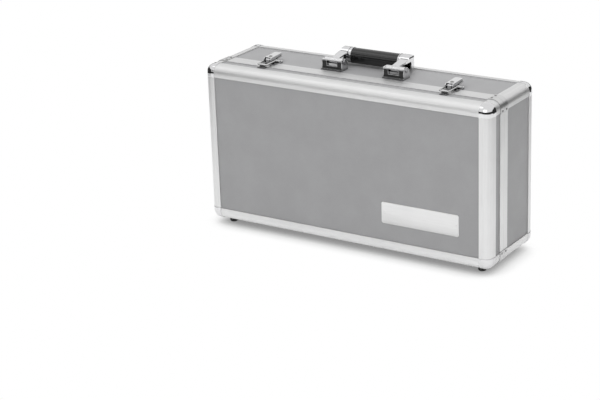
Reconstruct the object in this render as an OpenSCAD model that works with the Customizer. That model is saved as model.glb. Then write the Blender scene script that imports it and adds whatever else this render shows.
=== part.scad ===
// Flight-style carrying case for guitar pedals, standing upright with its lid to the front.
// Panels slot into aluminium edge profiles, a tongue-and-groove rim closes the seam, and the
// lid swings on two butt hinges under the case. Two draw latches and a folding handle sit on top.
//
// Frame: X runs along the case, the lid faces -Y, Z is up and 0 is the underside of the feet.
// Depths into a wall are measured from the outer faces of the edge profiles.

/* [Case] */
// Width over the edge profiles
case_w = 510; // [400:1:700]
// Height over the edge profiles, without feet and handle
case_h = 260; // [200:1:400]
// Depth over the edge profiles
case_d = 148; // [142:1:240]
// Depth of the lid, from its front face to the seam
lid_d = 45; // [42:1:56]

/* [Edge profiles] */
// Width of each leg of the edge profile
edge_leg = 19; // [17:0.5:24]
// Outer corner radius of the edge profile
edge_round = 13.5; // [11:0.5:14]
// Wall of the edge profiles and rims
skin = 1.6; // [1.2:0.1:2]
// Thickness of the inner webs of the profiles
web = 1.2; // [0.8:0.1:1.6]
// Thickness of the panels
panel_t = 6; // [4:0.5:8]

/* [Rims] */
// Width of each rim, from the seam
rim_w = 12; // [10:0.5:14]
// Gap between lid and base at the seam
seam_gap = 0.3; // [0.2:0.1:0.6]
// Wall in front of the groove
land_t = 3; // [2.2:0.1:3.4]
// Width of the groove
groove_w = 2.6; // [2.4:0.1:3]
// Depth of the groove
groove_deep = 4.6; // [3.6:0.2:5]
// Thickness of the tongue
tongue_t = 1.6; // [1.2:0.1:1.8]
// How far the tongue reaches past the seam
tongue_reach = 2.6; // [1.6:0.2:2.8]

/* [Corners] */
// How far the cast ball corners stand proud of the profiles
ball_proud = 0.6; // [0.4:0.1:1.2]
// Thickness of the riveted rim clamps
clamp_t = 0.8; // [0.6:0.1:1.2]
// Reach of the rim clamps from the outer faces
clamp_leg = 21; // [18:0.5:30]

/* [Lining] */
// Thickness of the foam on the walls
foam_wall_t = 8; // [5:0.5:12]
// Thickness of the foam pads on the back and front panels
foam_pad_t = 12; // [6:0.5:16]
// Clearance round each piece of foam
foam_gap = 0.3; // [0.2:0.1:0.6]

/* [Feet] */
// Height of the feet under the edge profiles
foot_h = 10; // [8:0.5:16]
// Diameter of the feet
foot_d = 13.6; // [11:0.2:15.6]
// Diameter of the screw recess in each foot
foot_recess_d = 7; // [5:0.2:8]

/* [Hinges] */
// Distance of the middle of each hinge from the side of the case
hinge_from_side = 105; // [90:1:150]
// Length of each hinge
hinge_len = 60; // [40:1:80]
// Number of knuckles of each hinge
hinge_knuckles = 5; // [3:2:7]
// Outer radius of the knuckles
knuckle_r = 3; // [2.6:0.1:3.4]
// Radius of the hinge pins
hinge_pin_r = 1.4; // [1:0.1:1.8]
// Thickness of the hinge leaves
leaf_t = 1.4; // [1:0.1:1.8]

/* [Handle] */
// Distance of the handle pivot behind the seam
handle_back = 29.5; // [28:0.5:33]
// Height of the handle pivot over the edge profiles
handle_pivot_z = 12.2; // [11.6:0.1:12.6]
// Distance from the pivot to the middle of the grip, along the case
grip_reach = 37.5; // [36:0.5:42]
// Height of the middle of the grip over the edge profiles
grip_z = 13.2; // [12.8:0.2:16]
// Half of the grip's length
grip_half = 42; // [36:1:54]
// Radius of the grip
grip_r = 12; // [10:0.5:13]
// Radius of the steel core of the grip
core_r = 4; // [3:0.25:5]
// Width of each handle arm beside the grip
arm_w = 15; // [13:0.5:17]
// Wall of the handle arms
arm_t = 2; // [1.6:0.1:2.4]
// Width of each handle bracket
bracket_w = 37; // [32:0.5:44]
// Height of each handle bracket over the edge profiles
bracket_h = 16; // [15.5:0.5:17]
// Wall of the handle brackets
bracket_t = 2; // [1.5:0.1:2.4]
// Radius of the barrel that turns in the bracket
barrel_r = 5; // [4.4:0.1:5.4]
// Radius of the handle pins
handle_pin_r = 2; // [1.5:0.1:2.4]

/* [Latches] */
// Distance of the middle of each latch from the side of the case
latch_from_side = 92; // [70:1:110]
// Width of the latch base plate
latch_w = 28; // [25:0.5:32]
// Length of the latch base plate
latch_len = 26; // [22:0.5:30]
// Thickness of the latch base plate
latch_plate_t = 1.5; // [1:0.1:1.8]
// Distance of the lever pivot behind the seam
lever_back = 4; // [4:0.5:5]
// Height of the lever pivot over the edge profiles
lever_pivot_z = 6.5; // [6.5:0.1:8]
// Radius of the lever's nose round its pivot
lever_nose_r = 4.4; // [4.2:0.1:4.6]
// Length of the lever behind its pivot
lever_len = 29.5; // [25:0.5:32]
// Outer width of the lever's channel
lever_w = 13.4; // [13.4:0.1:15]
// Wall of the lever
lever_t = 1.2; // [1:0.1:1.3]
// Upward slope of the closed lever
lever_tilt = 2; // [0.5:0.5:5]
// Radius of the lever pin
lever_pin_r = 1.5; // [1.2:0.1:1.7]
// Radius of the wire loop's wire
wire_r = 1.2; // [1:0.05:1.3]
// Distance of the loop's crossbar in front of the lid's rim
crossbar_ahead = 3.7; // [3.7:0.1:5]
// Height of the closed crossbar over the edge profiles
crossbar_z = 3.8; // [3.6:0.1:4.4]
// Width of the catch on the lid
catch_w = 13; // [11:0.5:13.5]
// Height of the catch's lip over the edge profiles
lip_h = 5.2; // [4:0.1:5.4]
// Thickness of the catch's lip
lip_t = 1.6; // [1.2:0.1:1.6]
// Radius of the key cylinder
lock_r = 2.8; // [2.4:0.1:2.8]

/* [Hidden] */
$fn = 48;

// Clearances
run_fit = 0.05;      // radial play of a pin in its bore
side_play = 0.3;     // play beside a turning piece
eps = 0.01;          // overshoot of a cut

// Colours
panel_grey = [0.62, 0.63, 0.65];
aluminium = [0.84, 0.85, 0.86];
chrome = [0.78, 0.79, 0.81];
steel = [0.6, 0.61, 0.62];
black_rubber = [0.06, 0.06, 0.06];
black_plastic = [0.1, 0.1, 0.11];
foam_grey = [0.2, 0.2, 0.21];
brass = [0.75, 0.62, 0.35];

// Main planes
z_bottom = foot_h;
z_top = foot_h + case_h;
z_mid = (z_bottom + z_top) / 2;
y_front = -case_d / 2;
y_back = case_d / 2;
y_seam = y_front + lid_d;

// Depths into the walls
panel_in = skin + panel_t;          // inner face of a panel
wall_in = panel_in + web;           // inner face of the profiles
slot_end = edge_round;              // where a panel stops in an edge profile
rim_web = groove_deep + seam_gap / 2;
rim_slot = rim_web + skin;          // where a panel stops in a rim
groove_back = land_t + groove_w;

// ---------------------------------------------------------------- placing

module both_x() {
    children();
    mirror([1, 0, 0]) children();
}

// Turns a piece at the bottom of the case over to its top
module flip_z() {
    translate([0, 0, 2 * z_mid]) mirror([0, 0, 1]) children();
}

module four_corners() {
    both_x() {
        children();
        flip_z() children();
    }
}

// A section drawn in (u, v) becomes a bar along X, with u along +Y and v along +Z
module bar(len) {
    rotate([90, 0, 90]) linear_extrude(len, center = true) children();
}

// The four bars of a frame: u runs from the plane y along +Y, v runs inwards
module bottom_bar(y, len) {
    translate([0, y, z_bottom]) bar(len) children();
}

module top_bar(y, len) {
    flip_z() bottom_bar(y, len) children();
}

module right_bar(y, len) {
    translate([case_w / 2, y, z_mid]) rotate([0, -90, 0]) bar(len) children();
}

module left_bar(y, len) {
    mirror([1, 0, 0]) right_bar(y, len) children();
}

// ---------------------------------------------------------------- panels

module flat_panel(size, at) {
    color(panel_grey) translate(at - size / 2) cube(size);
}

face_w = case_w - 2 * slot_end;
face_h = case_h - 2 * slot_end;
panel_mid = skin + panel_t / 2;

module face_panel(y) {
    flat_panel([face_w, panel_t, face_h], [0, y, z_mid]);
}

module level_panel(y1, y2, z) {
    flat_panel([face_w, y2 - y1, panel_t], [0, (y1 + y2) / 2, z]);
}

module side_panel(y1, y2, x) {
    flat_panel([panel_t, y2 - y1, face_h], [x, (y1 + y2) / 2, z_mid]);
}

base_y1 = y_seam + rim_slot;
base_y2 = y_back - slot_end;
lid_y1 = y_front + slot_end;
lid_y2 = y_seam - rim_slot;

module base_back_panel() { face_panel(y_back - panel_mid); }
module base_top_panel() { level_panel(base_y1, base_y2, z_top - panel_mid); }
module base_bottom_panel() { level_panel(base_y1, base_y2, z_bottom + panel_mid); }
module base_left_panel() { side_panel(base_y1, base_y2, -case_w / 2 + panel_mid); }
module base_right_panel() { side_panel(base_y1, base_y2, case_w / 2 - panel_mid); }
module lid_front_panel() { face_panel(y_front + panel_mid); }
module lid_top_panel() { level_panel(lid_y1, lid_y2, z_top - panel_mid); }
module lid_bottom_panel() { level_panel(lid_y1, lid_y2, z_bottom + panel_mid); }
module lid_left_panel() { side_panel(lid_y1, lid_y2, -case_w / 2 + panel_mid); }
module lid_right_panel() { side_panel(lid_y1, lid_y2, case_w / 2 - panel_mid); }

// ---------------------------------------------------------------- edge profiles

// One leg of the edge profile, along +u: skin, slot end and inner leg
module edge_leg_section() {
    translate([edge_round, 0]) square([edge_leg - edge_round, skin]);
    translate([slot_end - web, skin - eps]) square([web, panel_t + 2 * eps]);
    translate([panel_in, panel_in]) square([edge_leg - panel_in, web]);
}

// The rounded corner of the skin, with the hollow chamber behind it
module edge_round_section() {
    translate([edge_round, edge_round]) intersection() {
        difference() {
            circle(edge_round);
            circle(edge_round - skin);
        }
        translate([-edge_round, -edge_round]) square(edge_round + eps);
    }
}

module edge_section() {
    edge_leg_section();
    mirror([1, -1]) edge_leg_section();
    edge_round_section();
}

bar_w = case_w - 2 * edge_leg;
bar_h = case_h - 2 * edge_leg;

module edge_along_x(at_top) {
    color(aluminium)
        if (at_top) top_bar(y_front, bar_w) edge_section();
        else bottom_bar(y_front, bar_w) edge_section();
}

module edge_along_z(on_right) {
    color(aluminium)
        if (on_right) right_bar(y_front, bar_h) edge_section();
        else left_bar(y_front, bar_h) edge_section();
}

// Four short profiles from the rim to the ball corners
module edges_along_y(y1, y2) {
    color(aluminium) four_corners()
        translate([-case_w / 2, (y1 + y2) / 2, z_bottom])
            rotate([90, 0, 0]) linear_extrude(y2 - y1, center = true) edge_section();
}

module to_back() { mirror([0, 1, 0]) children(); }

module base_back_edge_top() { to_back() edge_along_x(true); }
module base_back_edge_bottom() { to_back() edge_along_x(false); }
module base_back_edge_left() { to_back() edge_along_z(false); }
module base_back_edge_right() { to_back() edge_along_z(true); }
module base_depth_edges() { edges_along_y(y_seam + rim_w, y_back - edge_leg); }
module lid_front_edge_top() { edge_along_x(true); }
module lid_front_edge_bottom() { edge_along_x(false); }
module lid_front_edge_left() { edge_along_z(false); }
module lid_front_edge_right() { edge_along_z(true); }
module lid_depth_edges() { edges_along_y(y_front + edge_leg, y_seam - rim_w); }

// ---------------------------------------------------------------- rims

// What both rims share: outer skin, slot end and inner leg, with u measured from the seam
module rim_slot_section() {
    translate([seam_gap / 2, 0]) square([rim_w - seam_gap / 2, skin]);
    translate([rim_web, 0]) square([skin, wall_in]);
    translate([rim_web, panel_in]) square([rim_w - rim_web, web]);
}

// Rim of the base, with the groove
module base_rim_section() {
    rim_slot_section();
    translate([seam_gap / 2, 0]) square([rim_slot - seam_gap / 2, land_t]);
    translate([seam_gap / 2, groove_back]) square([rim_slot - seam_gap / 2, web]);
}

// Rim of the lid, with the tongue
module lid_rim_section() {
    rim_slot_section();
    translate([seam_gap / 2, 0]) square([skin, groove_back + web]);
    translate([seam_gap / 2, groove_back]) square([rim_slot - seam_gap / 2, web]);
    translate([-tongue_reach, land_t + side_play]) square([tongue_reach + seam_gap, tongue_t]);
}

rim_len_x = case_w - 2 * edge_round;
rim_len_z = case_h - 2 * edge_round;

// The section carried round a corner of the frame
module bend(y) {
    translate([case_w / 2 - edge_round, y, z_bottom + edge_round]) rotate([-90, 0, 0])
        rotate_extrude(angle = 90) translate([edge_round, 0]) rotate(90) children();
}

module to_lid() {
    translate([0, 2 * y_seam, 0]) mirror([0, 1, 0]) children();
}

module base_rim_top() { color(aluminium) top_bar(y_seam, rim_len_x) base_rim_section(); }
module base_rim_bottom() { color(aluminium) bottom_bar(y_seam, rim_len_x) base_rim_section(); }
module base_rim_sides() { color(aluminium) both_x() right_bar(y_seam, rim_len_z) base_rim_section(); }
module base_rim_bends() { color(aluminium) four_corners() bend(y_seam) base_rim_section(); }
module lid_rim_top() { color(aluminium) to_lid() top_bar(y_seam, rim_len_x) lid_rim_section(); }
module lid_rim_bottom() { color(aluminium) to_lid() bottom_bar(y_seam, rim_len_x) lid_rim_section(); }
module lid_rim_sides() { color(aluminium) to_lid() both_x() right_bar(y_seam, rim_len_z) lid_rim_section(); }
module lid_rim_bends() { color(aluminium) to_lid() four_corners() bend(y_seam) lid_rim_section(); }

// ---------------------------------------------------------------- corners

// Chromed sheet bent over each corner of a rim
module rim_clamps() {
    reach = clamp_leg - edge_round;
    color(chrome) four_corners() {
        bend(y_seam) translate([seam_gap / 2, -clamp_t]) square([rim_w - seam_gap / 2, clamp_t]);
        translate([case_w / 2 - clamp_leg, y_seam + seam_gap / 2, z_bottom - clamp_t])
            cube([reach, rim_w - seam_gap / 2, clamp_t]);
        translate([case_w / 2, y_seam + seam_gap / 2, z_bottom + edge_round])
            cube([clamp_t, rim_w - seam_gap / 2, reach]);
    }
}

module base_rim_clamps() { rim_clamps(); }
module lid_rim_clamps() { to_lid() rim_clamps(); }

ball_out = edge_round + ball_proud;
ball_in = edge_round - skin;
ball_leg = edge_leg - edge_round;

// A quarter of a tube along +Z, in the quadrant of -X and -Y
module quarter_tube() {
    linear_extrude(ball_leg) intersection() {
        difference() {
            circle(ball_out);
            circle(ball_in);
        }
        translate([-ball_out, -ball_out]) square(ball_out);
    }
}

// Cast corner that fills the gap where three edge profiles end
module ball_corner() {
    translate([-case_w / 2, y_front, z_bottom] + edge_round * [1, 1, 1]) {
        intersection() {
            difference() {
                sphere(ball_out);
                sphere(ball_in);
            }
            translate(-ball_out * [1, 1, 1]) cube(ball_out);
        }
        quarter_tube();
        mirror([1, 0, -1]) quarter_tube();
        mirror([0, 1, -1]) quarter_tube();
        translate([-ball_out, 0, 0]) cube([ball_out - ball_in, ball_leg, ball_leg]);
        translate([0, -ball_out, 0]) cube([ball_leg, ball_out - ball_in, ball_leg]);
        translate([0, 0, -ball_out]) cube([ball_leg, ball_leg, ball_out - ball_in]);
    }
}

module lid_ball_corners() { color(chrome) four_corners() ball_corner(); }
module base_ball_corners() { to_back() lid_ball_corners(); }

// ---------------------------------------------------------------- lining

foam_out = wall_in + foam_gap;
foam_in = foam_out + foam_wall_t;

module foam_pad(y) {
    size = [case_w - 2 * foam_in - 2 * foam_gap, foam_pad_t, case_h - 2 * foam_in - 2 * foam_gap];
    color(foam_grey) translate([0, y, z_mid] - [size.x / 2, 0, size.z / 2]) cube(size);
}

// Slab along X whose two outer edges are rounded to fit the bends of the rims
module slab_section(len, t, r) {
    translate([r - len / 2, 0]) square([len - 2 * r, t]);
    translate([-len / 2, r]) square([len, t - r]);
    for (side = [-1, 1]) translate([side * (len / 2 - r), r]) intersection() {
        circle(r);
        translate([-r, -r]) square([2 * r, r + eps]);
    }
}

module level_foam_slab(y1, y2) {
    round_r = max(edge_round - foam_out, 0.5);
    translate([0, y2, z_bottom + foam_out]) rotate([90, 0, 0]) linear_extrude(y2 - y1)
        slab_section(case_w - 2 * foam_out, foam_wall_t, round_r);
}

module foam_walls(y1, y2) {
    side_size = [foam_wall_t, y2 - y1, case_h - 2 * foam_in - 2 * foam_gap];
    color(foam_grey) {
        level_foam_slab(y1, y2);
        flip_z() level_foam_slab(y1, y2);
        both_x() translate([case_w / 2 - foam_in, y1, z_mid - side_size.z / 2]) cube(side_size);
    }
}

module base_foam_pad() { foam_pad(y_back - foam_out - foam_pad_t); }
module base_foam_walls() { foam_walls(y_seam + foam_gap, y_back - foam_out); }
module lid_foam_pad() { foam_pad(y_front + foam_out); }
module lid_foam_walls() { foam_walls(y_front + foam_out, y_seam - foam_gap); }

// ---------------------------------------------------------------- feet

foot_in = edge_leg + (lid_d - edge_leg - rim_w) / 2;

// Rubber foot standing on the panel, with a recess for its screw
module foot() {
    r = foot_d / 2;
    h = foot_h + skin;
    bevel = 1.2;
    recess_deep = 6;
    rotate_extrude() difference() {
        polygon([[0, 0], [r - bevel - 0.4, 0], [r - 0.4, bevel], [r, h], [0, h]]);
        translate([-1, -1]) square([foot_recess_d / 2 + 1, recess_deep + 1]);
    }
}

module feet(y) {
    color(black_rubber) both_x() translate([case_w / 2 - foot_in, y, 0]) foot();
}

module base_feet() { feet(y_back - foot_in); }
module lid_feet() { feet(y_front + foot_in); }

// ---------------------------------------------------------------- hinges

hinge_x = case_w / 2 - hinge_from_side;
hinge_drop = knuckle_r + 0.2;      // hinge axis below the edge profiles
knuckle_len = hinge_len / hinge_knuckles;

module hinge_side(first) {
    r = knuckle_r;
    cut = r + side_play;
    leaf_w = rim_w - 0.5;
    color(steel) both_x() translate([hinge_x - hinge_len / 2, y_seam, z_bottom - hinge_drop])
        difference() {
            union() {
                for (i = [first : 2 : hinge_knuckles - 1])
                    translate([i * knuckle_len + side_play / 2, 0, 0]) {
                        rotate([0, 90, 0]) cylinder(r = r, h = knuckle_len - side_play);
                        translate([0, 0, hinge_drop - leaf_t])
                            cube([knuckle_len - side_play, cut + 1, leaf_t]);
                    }
                translate([0, cut, hinge_drop - leaf_t]) cube([hinge_len, leaf_w - cut, leaf_t]);
            }
            translate([-1, 0, 0]) rotate([0, 90, 0]) cylinder(r = hinge_pin_r + run_fit, h = hinge_len + 2);
        }
}

module base_hinge_leaves() { hinge_side(0); }
module lid_hinge_leaves() { to_lid() hinge_side(1); }

module hinge_pins() {
    head_r = hinge_pin_r + 0.8;
    head_t = 0.8;
    color(steel) both_x() translate([hinge_x - hinge_len / 2, y_seam, z_bottom - hinge_drop])
        rotate([0, 90, 0]) {
            cylinder(r = hinge_pin_r, h = hinge_len);
            translate([0, 0, -head_t]) cylinder(r = head_r, h = head_t);
            translate([0, 0, hinge_len]) cylinder(r = head_r, h = head_t);
        }
}

// ---------------------------------------------------------------- handle

pivot = [y_seam + handle_back, z_top + handle_pivot_z];
grip_at = [pivot.x + grip_reach, z_top + grip_z];
arm_gap = 5.5;                          // from the end of the grip to the arm
arm_x1 = grip_half + arm_gap;           // inner and outer edge of the right arm
arm_x2 = arm_x1 + arm_w;
bracket_x = (arm_x1 + arm_x2 + 1) / 2;  // middle of each bracket
bracket_front = 8.5;                    // front face ahead of the pivot
bracket_rear = 9.5;
bracket_slope = 9;                      // fall of the ears behind the pivot
bracket_floor_t = 2.2;
bracket_toe = 3;                        // floor in front of the bracket
bead_r = 1.5;                           // rolled edge along the top of the front wall
seat_z = -(handle_pivot_z + skin);      // panel surface below the pivot
head_z = bracket_h - handle_pivot_z;    // bracket top above the pivot

// Places a side view drawn in (y, z) round the handle pivot, from x1 to x2
module across(x1, x2) {
    translate([x1, pivot.x, pivot.y]) rotate([90, 0, 90]) linear_extrude(x2 - x1) children();
}

module bracket_side_view() {
    difference() {
        polygon([
            [-bracket_front, seat_z], [bracket_rear, seat_z], [bracket_rear, head_z - bracket_slope],
            [4, head_z], [-bracket_front, head_z]
        ]);
        circle(handle_pin_r + run_fit);
    }
}

module bracket() {
    x1 = bracket_x - bracket_w / 2;
    x2 = bracket_x + bracket_w / 2;
    window_side = 9.25;
    window_w = bracket_w - 2 * window_side;
    window_low = 7.2;
    window_h = 8;
    color(chrome) {
        across(x1, x1 + bracket_t) bracket_side_view();
        across(x2 - bracket_t, x2) bracket_side_view();
        across(x1, x2) translate([-bracket_front - bracket_toe, seat_z])
            square([bracket_toe + bracket_front + bracket_rear, bracket_floor_t]);
        difference() {
            across(x1, x2) {
                translate([-bracket_front, seat_z]) square([bracket_t, head_z - seat_z - bead_r]);
                translate([bead_r - bracket_front - 0.3, head_z - bead_r + 0.2]) circle(bead_r);
            }
            translate([bracket_x - window_w / 2, pivot.x - bracket_front - 1, pivot.y + seat_z + window_low])
                cube([window_w, bracket_t + 2, window_h]);
        }
    }
}

module handle_bracket_right() { bracket(); }
module handle_bracket_left() { mirror([1, 0, 0]) bracket(); }

module handle_pins() {
    head_r = handle_pin_r + 1.2;
    head_t = 1.2;
    color(steel) both_x() translate([bracket_x, pivot.x, pivot.y]) rotate([0, 90, 0]) {
        cylinder(r = handle_pin_r, h = bracket_w, center = true);
        for (end = [-1, 1])
            translate([0, 0, end * (bracket_w + head_t) / 2]) cylinder(r = head_r, h = head_t, center = true);
    }
}

cap_r = grip_r + 0.6;                   // the cap of each arm stands a little over the grip
arm = grip_at - pivot;
arm_neck = arm_w - 2.5;                 // width of the arm at its barrel
arm_rise = 8.6;                         // slope of the arm at rest
arm_seat_r = barrel_r - 0.5;            // the top of the arm is let into the barrel
cap_start = 140;                        // angles round the grip where the cap starts and ends
cap_end = -75;
arm_corner_r = 9;                       // round rear corner, in plan
shoulder_r = 6;                         // round outer shoulder, from the front
arm_far = 60;                           // beyond every part of the arm

function spoke(angle, r) = r * [cos(angle), sin(angle)];

// Sheet of thickness t that leaves the top of the barrel and runs to the cap
module arm_sheet_view(t) {
    rotate(arm_rise) translate([0, arm_seat_r - t]) square([arm.x - 5, t]);
}

// Cap that curls over the end of the grip and down behind it
module cap_view() {
    translate(arm) difference() {
        circle(cap_r);
        circle(cap_r - arm_t);
        polygon([
            [0, 0], spoke(cap_start, 2 * cap_r), spoke(180, 2 * cap_r), spoke(230, 2 * cap_r),
            spoke(cap_end, 2 * cap_r)
        ]);
    }
}

// Side wall of the arm: a flange under the sheet, and a leg beside the grip
module arm_wall_view() {
    low = arm.y + 2.6;
    intersection() {
        polygon([
            [0, arm_far], [0, low], [arm.x - 3.5, low], [arm.x - 2, low - 1.5], [arm.x - 2, -arm_far],
            [arm_far, -arm_far], [arm_far, arm_far]
        ]);
        union() {
            arm_sheet_view(2 * cap_r);
            translate(arm) circle(cap_r);
        }
    }
}

// Plan of the right arm: a neck that widens beside the grip, and a round rear corner
module arm_plan(inset) {
    middle = [arm_x2 - arm_corner_r, arm.x + cap_r + 1 - arm_corner_r];
    r = arm_corner_r - inset;
    polygon([
        [arm_x1, -arm_far], [arm_x1 + arm_neck - inset, -arm_far], [arm_x1 + arm_neck - inset, 0],
        [arm_x2 - inset, arm.x / 2], [arm_x2 - inset, middle.y], middle, middle + [0, r], [arm_x1, middle.y + r]
    ]);
    translate(middle) intersection() {
        circle(r);
        square(r + 1);
    }
}

// Front view of the right arm, whose outer shoulder is round
module arm_front_view() {
    middle = [arm_x2, arm.y + cap_r + 1] - shoulder_r * [1, 1];
    polygon([
        [arm_x1, -arm_far], [arm_x2, -arm_far], [arm_x2, middle.y], middle,
        middle + [0, shoulder_r], [arm_x1, middle.y + shoulder_r]
    ]);
    translate(middle) intersection() {
        circle(shoulder_r);
        square(shoulder_r + 1);
    }
}

// Extrudes a plan round the handle pivot
module plan_block() {
    translate([0, pivot.x, pivot.y - arm_far]) linear_extrude(2 * arm_far) children();
}

module arm_shell() {
    intersection() {
        union() {
            intersection() {
                across(arm_x1, arm_x2) {
                    arm_sheet_view(arm_t);
                    cap_view();
                }
                plan_block() arm_plan(0);
            }
            intersection() {
                across(arm_x1, arm_x2) arm_wall_view();
                plan_block() difference() {
                    arm_plan(0);
                    arm_plan(arm_t);
                }
            }
        }
        translate([0, pivot.x + arm_far, pivot.y]) rotate([90, 0, 0]) linear_extrude(2 * arm_far)
            arm_front_view();
    }
}

module handle_arm() {
    collar_x = grip_half + 0.2;
    collar_w = 1.4;
    disc_end = arm_x1 + 2.5;
    barrel_half = bracket_w / 2 - bracket_t - side_play;
    color(chrome) difference() {
        union() {
            arm_shell();
            across(collar_x, collar_x + collar_w) translate(arm) circle(cap_r);
            across(collar_x, disc_end) translate(arm) circle(cap_r - 0.5);
            across(bracket_x - barrel_half, bracket_x + barrel_half) circle(barrel_r);
        }
        across(collar_x - 1, disc_end + 1) translate(arm) circle(core_r + run_fit);
        across(bracket_x - barrel_half - 1, bracket_x + barrel_half + 1) circle(handle_pin_r + run_fit);
    }
}

module handle_arm_right() { handle_arm(); }
module handle_arm_left() { mirror([1, 0, 0]) handle_arm(); }

// Round on top, flatter below, with a step where the two mouldings meet and a ridge in front
module grip_section() {
    lower_half = grip_r - 0.8;
    low_round = grip_r / 2 - 0.5;
    ridge_angle = 151;
    ridge_r = 0.8;
    difference() {
        union() {
            intersection() {
                circle(grip_r);
                translate([-grip_r, 0]) square([2 * grip_r, grip_r]);
            }
            translate([-lower_half, -low_round]) square([2 * lower_half, low_round + eps]);
            for (side = [-1, 1])
                translate([side * (lower_half - low_round), -low_round]) circle(low_round);
            translate(spoke(ridge_angle, grip_r - 0.3)) circle(ridge_r);
            translate([low_round - lower_half, -2 * low_round])
                square([2 * (lower_half - low_round), low_round + eps]);
        }
        circle(core_r + run_fit);
    }
}

module handle_grip() {
    color(black_plastic) across(-grip_half, grip_half) translate(arm) grip_section();
}

module handle_core() {
    end = arm_x1 - 0.5;
    color(steel) across(-end, end) translate(arm) circle(core_r);
}

// ---------------------------------------------------------------- latches

latch_x = case_w / 2 - latch_from_side;
lever_pivot = [lever_back, lever_pivot_z];
lever_in = lever_w / 2 - lever_t;       // inner half width of the channel
knuckle_half = 3.6;
loop_on_lever = [7.8, -2.3];            // loop pivot, along and across the lever
lock_along = 6.4;                       // key cylinder, along the lever
flange_t = 1.2;
flange_out = 2;
arm_x = lever_w / 2 + 0.4 + wire_r;     // wires run just outside the channel

function turned(p, angle) = [p.x * cos(angle) - p.y * sin(angle), p.x * sin(angle) + p.y * cos(angle)];

loop_pivot = lever_pivot + turned(loop_on_lever, lever_tilt);
crossbar_front = rim_w + crossbar_ahead;
crossbar = [-crossbar_front, crossbar_z];

// Latch pieces are drawn round the seam, at the outer faces of the profiles
module latch_right() { translate([latch_x, y_seam, z_top]) children(); }
module latch_left() { mirror([1, 0, 0]) latch_right() children(); }

// A side view drawn in (y, z), widened to x1..x2
module widen(x1, x2) {
    translate([x1, 0, 0]) rotate([90, 0, 90]) linear_extrude(x2 - x1) children();
}

// Plate with round rear corners, in plan
module rounded_plan(w, len, r) {
    translate([-w / 2, 0]) square([w, len - r]);
    translate([r - w / 2, len - r - eps]) square([w - 2 * r, r + eps]);
    for (side = [-1, 1]) translate([side * (w / 2 - r), len - r]) circle(r);
}

keeper_t = 1;                           // post beside the key cylinder
keeper_x = lever_in - side_play - keeper_t;
lock_cam_r = keeper_x - side_play;
lock_cam_t = 1.6;
lock_cam_low = -2.6;                    // underside of the cam, across the lever
keeper_gap = 0.5;

module latch_base() {
    front = 1;
    knuckle_out = 2.6;
    knuckle_post = 2.4;
    post_half = 2.5;
    lock_y = lever_pivot.x + lock_along * cos(lever_tilt);
    ledge_low = lever_pivot.y + lock_along * sin(lever_tilt) + lock_cam_low + lock_cam_t + keeper_gap;
    ledge_t = 1.2;
    color(chrome) difference() {
        union() {
            translate([0, front, 0]) linear_extrude(latch_plate_t)
                rounded_plan(latch_w, latch_len - front, 4);
            translate([0, front, -skin]) linear_extrude(skin + eps) intersection() {
                rounded_plan(latch_w, latch_len - front, 4);
                translate([-latch_w, rim_w - front]) square([2 * latch_w, latch_len]);
            }
            widen(-knuckle_half, knuckle_half) {
                translate(lever_pivot) circle(knuckle_out);
                translate([lever_pivot.x - knuckle_post, latch_plate_t - eps])
                    square([2 * knuckle_post, lever_pivot.y - latch_plate_t]);
            }
            translate([keeper_x, lock_y - post_half, latch_plate_t - eps])
                cube([keeper_t, 2 * post_half, ledge_low + ledge_t - latch_plate_t]);
            translate([lock_r + side_play, lock_y - post_half, ledge_low])
                cube([keeper_x - lock_r, 2 * post_half, ledge_t]);
        }
        widen(-knuckle_half - 1, knuckle_half + 1) translate(lever_pivot) circle(lever_pin_r + run_fit);
    }
}

module latch_base_right() { latch_right() latch_base(); }
module latch_base_left() { latch_left() latch_base(); }

module latch_pins() {
    color(steel) both_x() latch_right()
        widen(-lever_w / 2, lever_w / 2) translate(lever_pivot) circle(lever_pin_r);
}

// Side of the lever, drawn round its pivot with the top level
module lever_side_view() {
    circle(lever_nose_r);
    polygon([
        [0, -lever_nose_r], [loop_on_lever.x + 2.4, -lever_nose_r], [loop_on_lever.x + 5, -1.6],
        [lever_len, -0.4], [lever_len, lever_nose_r], [0, lever_nose_r]
    ]);
}

module lever_flange_view() {
    polygon([
        [loop_on_lever.x + 5, -1.6], [lever_len, -0.4], [lever_len + flange_out, -0.2],
        [lever_len + flange_out, flange_t - 0.2], [lever_len, flange_t - 0.4],
        [loop_on_lever.x + 5, flange_t - 1.6]
    ]);
}

module tilted_on_pivot() {
    translate([0, lever_pivot.x, lever_pivot.y]) rotate([lever_tilt, 0, 0]) children();
}

// Pressed channel with a flange to lift it by, closed at the rear
module latch_lever() {
    half = lever_w / 2;
    inside_top = lever_nose_r - lever_t;
    long = 2 * lever_nose_r;
    color(chrome) tilted_on_pivot() difference() {
        union() {
            intersection() {
                widen(-half, half) lever_side_view();
                translate([0, -long, -long]) linear_extrude(2 * long)
                    rounded_plan(lever_w, lever_len + long, 3);
            }
            intersection() {
                widen(-half - flange_out, half + flange_out) lever_flange_view();
                translate([0, -long, -long]) linear_extrude(2 * long)
                    rounded_plan(lever_w + 2 * flange_out, lever_len + flange_out + long, 5);
            }
        }
        // inside of the channel, and its open front
        widen(-lever_in, lever_in) translate([-long, -long]) square([long + lever_len - lever_t, long + inside_top]);
        widen(-lever_in, lever_in) translate([-long - 0.5, -long]) square([long, 2 * long]);
        widen(-half - 1, half + 1) {
            circle(lever_pin_r + run_fit);
            translate(loop_on_lever) circle(wire_r + run_fit);
        }
        translate([0, lock_along, 0]) cylinder(r = lock_r + run_fit, h = long);
    }
}

module latch_lever_right() { latch_right() latch_lever(); }
module latch_lever_left() { latch_left() latch_lever(); }

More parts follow.
